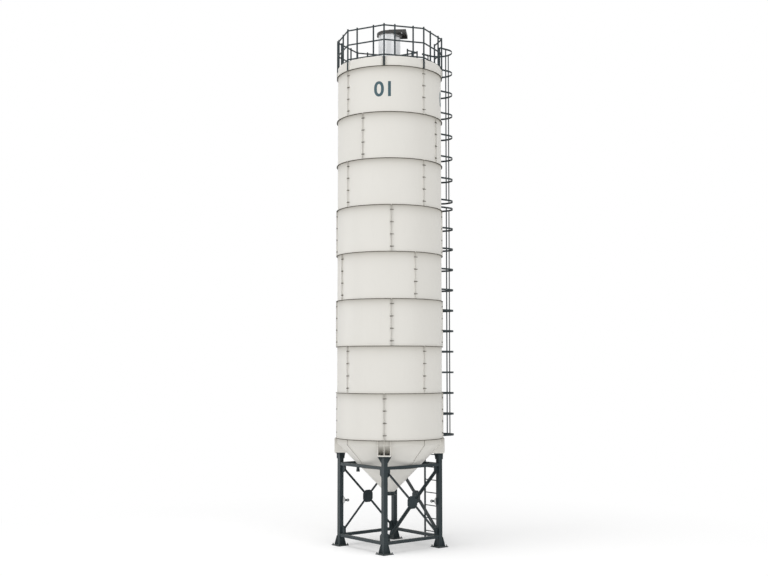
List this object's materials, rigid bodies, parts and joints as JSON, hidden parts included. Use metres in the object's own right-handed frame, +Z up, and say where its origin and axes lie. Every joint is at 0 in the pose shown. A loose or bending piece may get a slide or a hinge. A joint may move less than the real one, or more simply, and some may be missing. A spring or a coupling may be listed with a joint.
{
  "type": "cement silo",
  "caption": "Bolted sheet-metal cement silo on a braced four-leg frame, with conical hopper and outlet, roof filter, guard rail, caged ladder and fill pipe.",
  "frame": {"origin": "on the ground at the silo's axis, midway between the four feet", "axes": "+Z up along the silo's axis, +Y towards the ladder, -Y towards the frame's open side"},
  "size_m": [3.0942, 3.6797, 14.2466],
  "materials": {
    "shell_paint": "satin",
    "frame_paint": "satin",
    "filter_steel": "brushed",
    "fitting_metal": "satin"
  },
  "bodies": {
    "root": {"ring_1": "shell_paint", "ring_2": "shell_paint", "ring_3": "shell_paint", "ring_4": "shell_paint", "ring_5": "shell_paint", "ring_6": "shell_paint", "ring_7": "shell_paint", "ring_8": "shell_paint", "roof_skirt": "shell_paint", "roof_cone": "shell_paint", "hopper_upper": "shell_paint", "hopper_lower": "shell_paint", "leg_brackets": "shell_paint", "outlet_collar": "frame_paint", "leg_tubes": "frame_paint", "leg_bases": "frame_paint", "leg_caps": "frame_paint", "bottom_beams": "frame_paint", "top_beams": "frame_paint", "brace_plates": "frame_paint", "brace_right": "frame_paint", "brace_left": "frame_paint", "brace_back": "frame_paint", "guard_front": "frame_paint", "guard_right": "frame_paint", "guard_back": "frame_paint", "guard_left": "frame_paint", "guard_posts": "frame_paint", "entry_rail": "frame_paint", "ladder_lower": "frame_paint", "ladder_upper": "frame_paint", "ladder_grips": "frame_paint", "ladder_brackets": "frame_paint", "cage_hoops_lower": "frame_paint", "cage_hoops_upper": "frame_paint", "cage_bars": "frame_paint", "filter_cap": "frame_paint", "rain_hood": "frame_paint", "fill_pipe": "frame_paint", "fill_coupling": "frame_paint", "fitting_stubs": "frame_paint", "filter_body": "filter_steel", "leg_fittings": "fitting_metal"}
  },
  "joints": []
}
